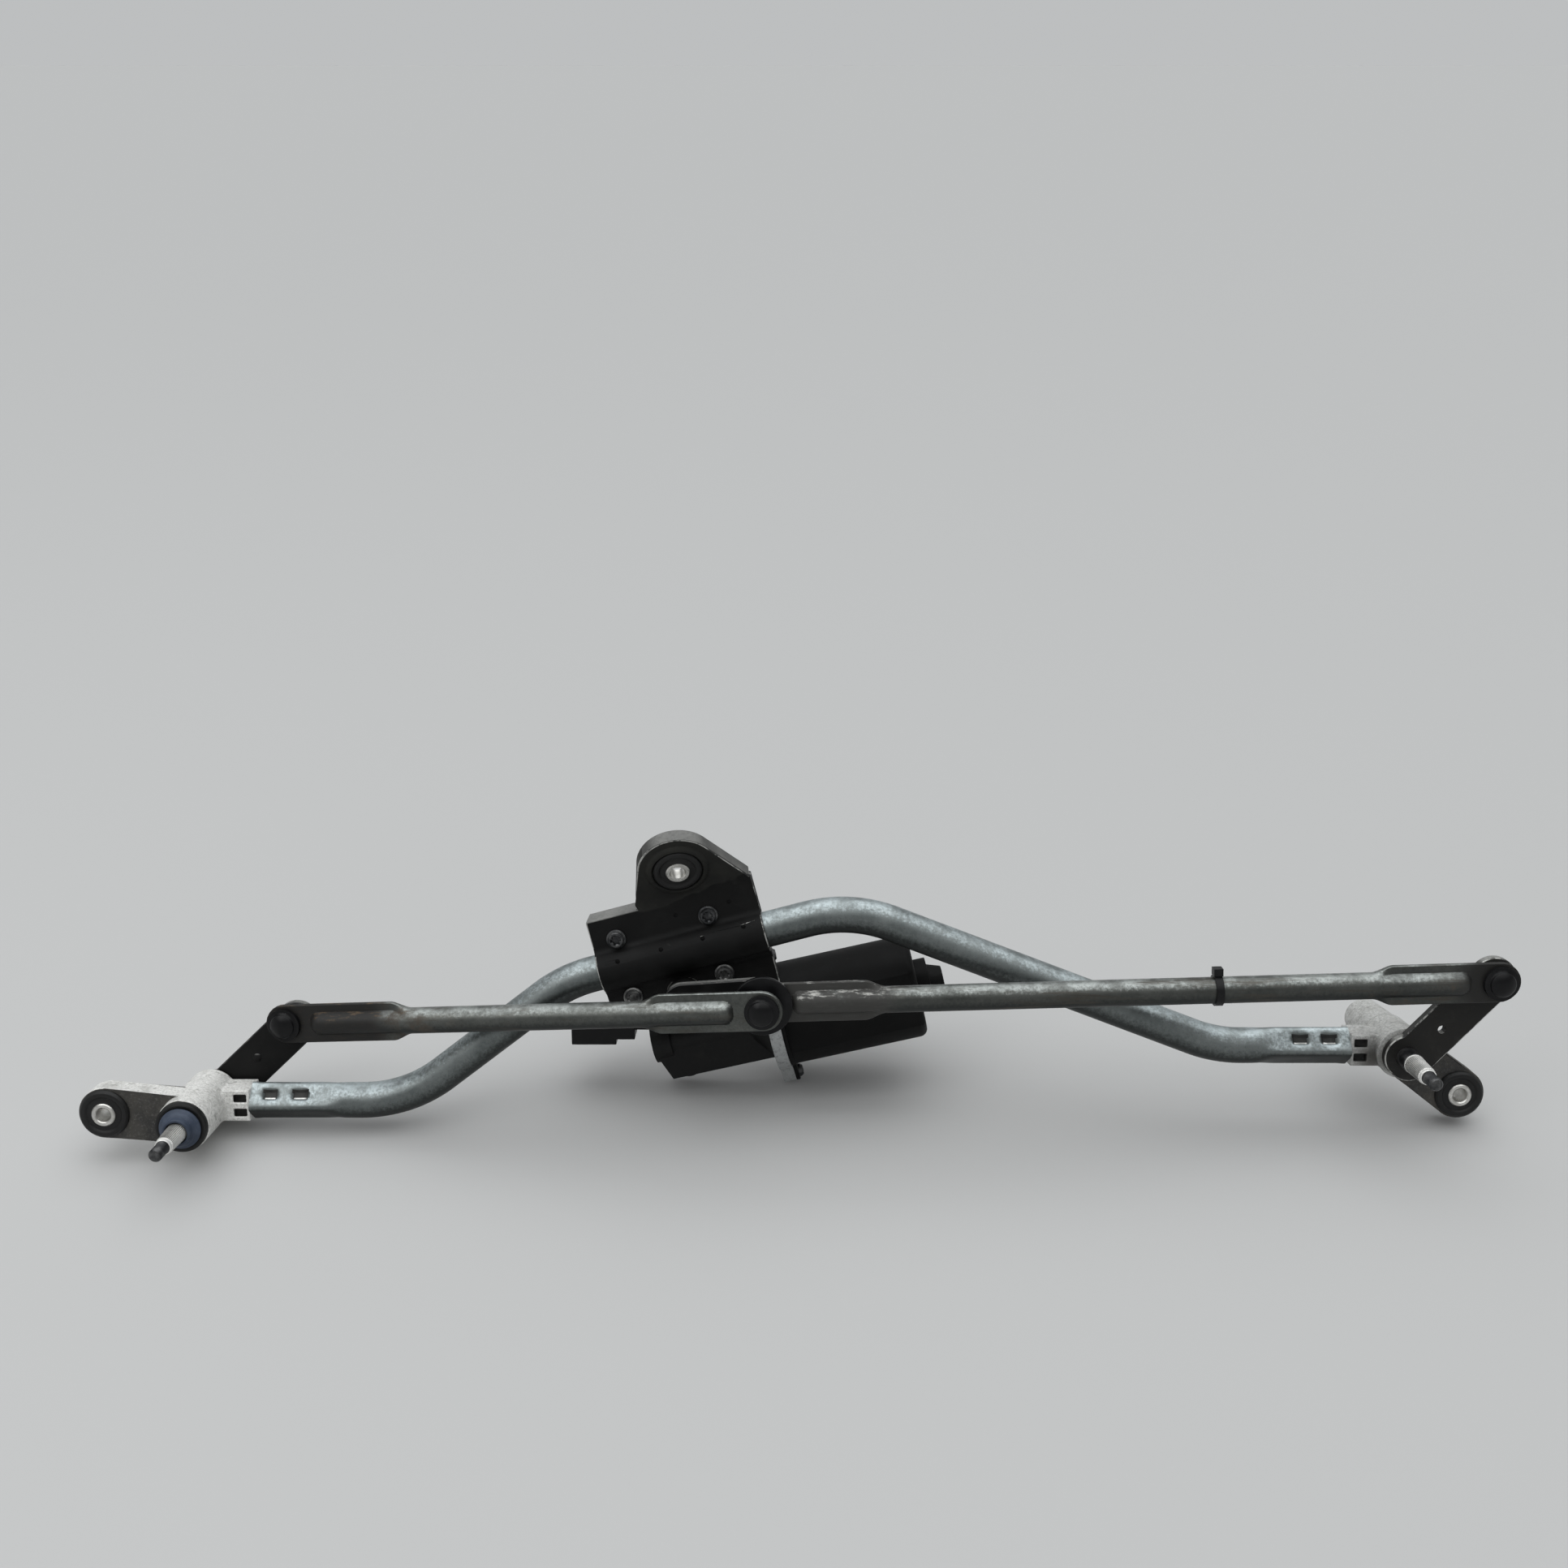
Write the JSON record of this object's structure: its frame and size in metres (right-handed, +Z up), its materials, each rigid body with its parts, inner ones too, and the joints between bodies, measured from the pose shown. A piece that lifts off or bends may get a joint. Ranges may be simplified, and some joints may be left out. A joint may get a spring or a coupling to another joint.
{
  "type": "windscreen wiper linkage",
  "caption": "Windscreen wiper linkage: bent tube frame with a worm gear motor whose crank swings both wiper spindles through ball jointed rods.",
  "frame": {"origin": "centre of the middle mounting bush, in the bracket's tab", "axes": "+X along the linkage towards the right spindle, +Z up, -Y to the front, where the wiper arms go on"},
  "size_m": [0.8671, 0.173, 0.1964],
  "materials": {
    "zinc_steel": "zinc plated, matt",
    "cast_alloy": "die cast, rough",
    "black_coat": "black electro-coat, satin",
    "rubber": "matt",
    "plastic": "black, matt",
    "steel": "bright",
    "dark_steel": "dark, phosphated",
    "bronze": "sintered",
    "phenolic": "brown",
    "copper": "copper",
    "gear_plastic": "ivory",
    "dust_cap": "blue grey",
    "ferrite": "ferrite, matt"
  },
  "bodies": {
    "frame": {"frame_tube": "zinc_steel", "left_housing": "cast_alloy", "right_housing": "cast_alloy", "left_bush_rubber": "rubber", "left_bush_sleeve": "steel", "right_bush_rubber": "rubber", "right_bush_sleeve": "steel", "centre_bush_rubber": "rubber", "centre_bush_sleeve": "steel", "mount_bracket": "black_coat", "motor_screws": "dark_steel", "gear_housing": "cast_alloy", "gear_cover": "plastic", "cover_screws": "dark_steel", "connector_socket": "plastic", "motor_can": "black_coat", "can_screws": "dark_steel", "field_magnets": "ferrite", "brush_holder": "phenolic", "carbon_brushes": "ferrite", "rear_bearing": "bronze", "worm_bearing": "bronze", "output_bush": "bronze", "left_spindle_bushes": "bronze", "right_spindle_bushes": "bronze", "left_seal": "rubber", "left_dust_cap": "dust_cap"},
    "crank": {"output_shaft": "steel", "worm_wheel": "gear_plastic", "crank_arm": "black_coat", "crank_nut": "steel", "crank_ball_stud": "steel"},
    "armature": {"armature_shaft": "steel", "armature_core": "dark_steel", "armature_windings": "copper", "commutator": "copper"},
    "left_arm": {"left_spindle": "steel", "left_lever": "black_coat", "left_clip": "dark_steel", "left_rivet": "dark_steel"},
    "right_arm": {"right_spindle": "steel", "right_lever": "black_coat", "right_clip": "dark_steel", "right_rivet": "dark_steel"},
    "left_link": {"left_rod": "zinc_steel", "left_rod_lever_socket": "plastic", "left_rod_crank_socket": "plastic", "left_ball_stud": "steel"},
    "right_link": {"right_rod": "zinc_steel", "right_rod_lever_socket": "plastic", "right_rod_crank_socket": "plastic", "right_ball_stud": "steel", "cable_tie": "plastic"}
  },
  "joints": [
    {"name": "crank_turn", "type": "hinge", "parent": "frame", "child": "crank", "pos_m": [0.00326, -0.02349, -0.07852], "axis": [0, -0.9703, 0.2419], "range_deg": [0, 180]},
    {"name": "left_wiper", "type": "hinge", "parent": "frame", "child": "left_arm", "pos_m": [-0.29674, -0.02439, -0.15044], "axis": [0, -0.9703, 0.2419], "range_deg": [-1, 86.18]},
    {"name": "right_wiper", "type": "hinge", "parent": "frame", "child": "right_arm", "pos_m": [0.44226, -0.01568, -0.11551], "axis": [0, -0.9703, 0.2419], "range_deg": [-1, 88.32]},
    {"name": "left_rod_swing", "type": "hinge", "parent": "crank", "child": "left_link", "pos_m": [0.05114, -0.04936, -0.06862], "axis": [0, -0.9703, 0.2419], "range_deg": [-184, 1]},
    {"name": "right_rod_swing", "type": "hinge", "parent": "crank", "child": "right_link", "pos_m": [0.05114, -0.03481, -0.07225], "axis": [0, -0.9703, 0.2419], "range_deg": [-181, 1]},
    {"name": "armature_spin", "type": "hinge", "parent": "frame", "child": "armature", "pos_m": [0.01257, 0.02727, -0.13339], "axis": [0.9751, 0.0536, 0.215], "range_deg": [-60, 10320]}
  ],
  "couplings": [
    {"joint": "left_wiper", "follows": "crank_turn", "ratio": 0.47323},
    {"joint": "right_wiper", "follows": "crank_turn", "ratio": 0.48511},
    {"joint": "left_rod_swing", "follows": "crank_turn", "ratio": -1.0143},
    {"joint": "right_rod_swing", "follows": "crank_turn", "ratio": -0.99655},
    {"joint": "armature_spin", "follows": "crank_turn", "ratio": 57}
  ]
}
